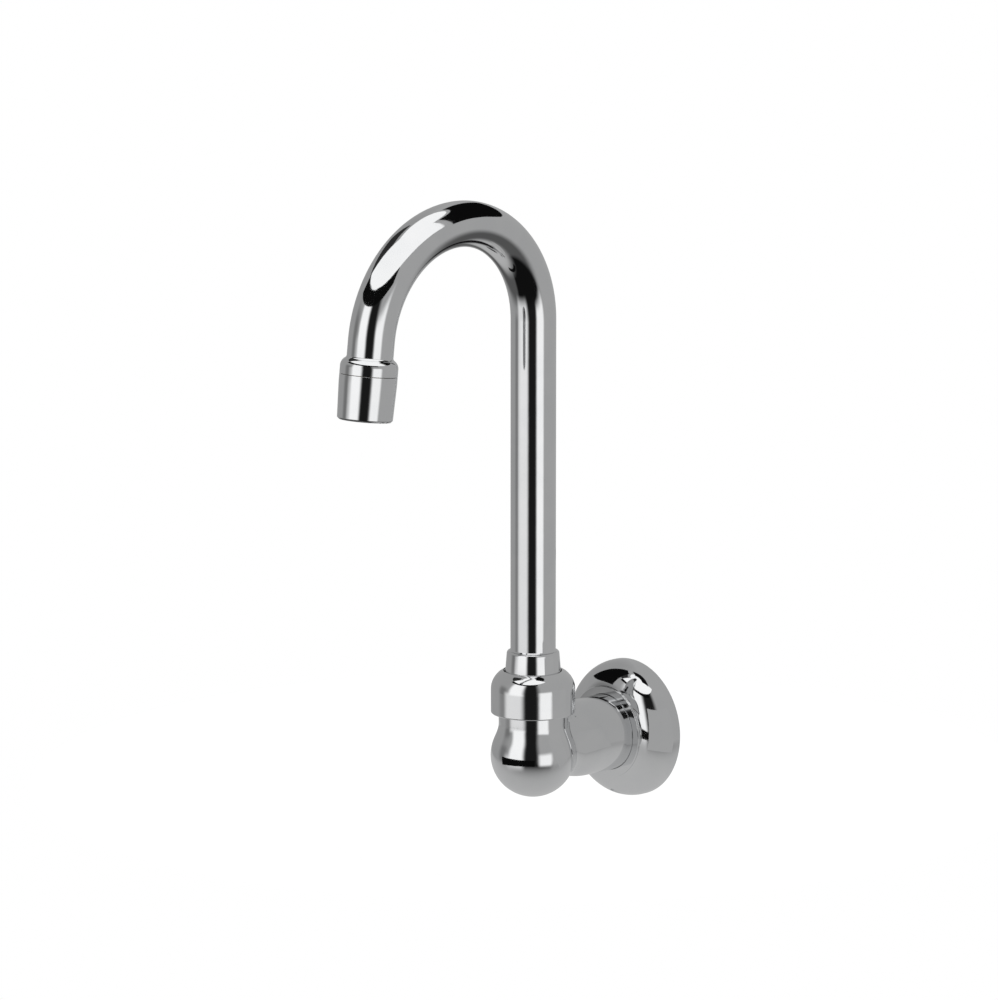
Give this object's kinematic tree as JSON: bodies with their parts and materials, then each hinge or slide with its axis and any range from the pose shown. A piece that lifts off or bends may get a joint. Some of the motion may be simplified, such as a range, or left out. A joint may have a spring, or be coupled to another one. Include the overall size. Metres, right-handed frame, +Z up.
{
  "type": "wall-mounted gooseneck spout",
  "caption": "Wall-mounted swing gooseneck spout: domed wall flange, ball elbow, coupling nut, arched tube and screw-on aerator that pours water into a kitchen sink.",
  "frame": {"origin": "centre of the inlet's mouth, on the wall plane", "axes": "+Z up along the riser, +Y into the wall, the spout arcs towards -Y"},
  "size_m": [0.059, 0.1675, 0.2662],
  "materials": {
    "polished_chrome": "mirror-polished chrome plate on brass, faint wiping marks",
    "seal_rubber": "black nitrile rubber, slightly dull, greased",
    "gasket_foam": "closed-cell foam rubber, matt",
    "screw_steel": "plain stainless steel",
    "washer_plastic": "unfilled acetal, satin",
    "spring_bronze": "drawn phosphor bronze",
    "screen_steel": "fine stainless steel",
    "insert_plastic": "moulded acetal",
    "regulator_plastic": "moulded, green"
  },
  "bodies": {
    "elbow": {"elbow_body": "polished_chrome", "lower_thrust_washer": "washer_plastic", "upper_thrust_washer": "washer_plastic", "coupling_nut": "polished_chrome"},
    "flange": {"wall_flange": "polished_chrome", "flange_gasket": "gasket_foam", "flange_seal_ring": "seal_rubber", "flange_set_screw": "screw_steel"},
    "spout": {"swivel_ferrule": "polished_chrome", "retaining_ring": "spring_bronze", "ferrule_o_ring_upper": "seal_rubber", "ferrule_o_ring_lower": "seal_rubber", "gooseneck_tube": "polished_chrome", "outlet_adapter": "polished_chrome"},
    "aerator_core": {"aerator_washer": "seal_rubber", "inlet_screen": "screen_steel", "aerator_insert": "insert_plastic", "flow_regulator": "regulator_plastic", "regulator_o_ring": "seal_rubber", "outlet_screen": "screen_steel"},
    "aerator_shell": {"aerator_housing": "polished_chrome"}
  },
  "joints": [
    {"name": "spout_swivel", "type": "hinge", "parent": "elbow", "child": "spout", "pos_m": [0, -0.0593, 0.025], "axis": [0, 0, 1], "range_deg": [-115, 115]},
    {"name": "flange_slide", "type": "slide", "parent": "elbow", "child": "flange", "axis": [0, -1, 0], "range_m": [0, 0.012]},
    {"name": "aerator_drop", "type": "slide", "parent": "spout", "child": "aerator_core", "axis": [0, -0.1201, -0.9928], "range_m": [0, 0.0066]},
    {"name": "aerator_unscrew", "type": "hinge", "parent": "aerator_core", "child": "aerator_shell", "pos_m": [0, -0.15316, 0.17787], "axis": [0, -0.1201, -0.9928], "range_deg": [0, 2520]}
  ],
  "couplings": [
    {"joint": "aerator_drop", "follows": "aerator_unscrew", "m_per_rad": 0.00014972}
  ]
}
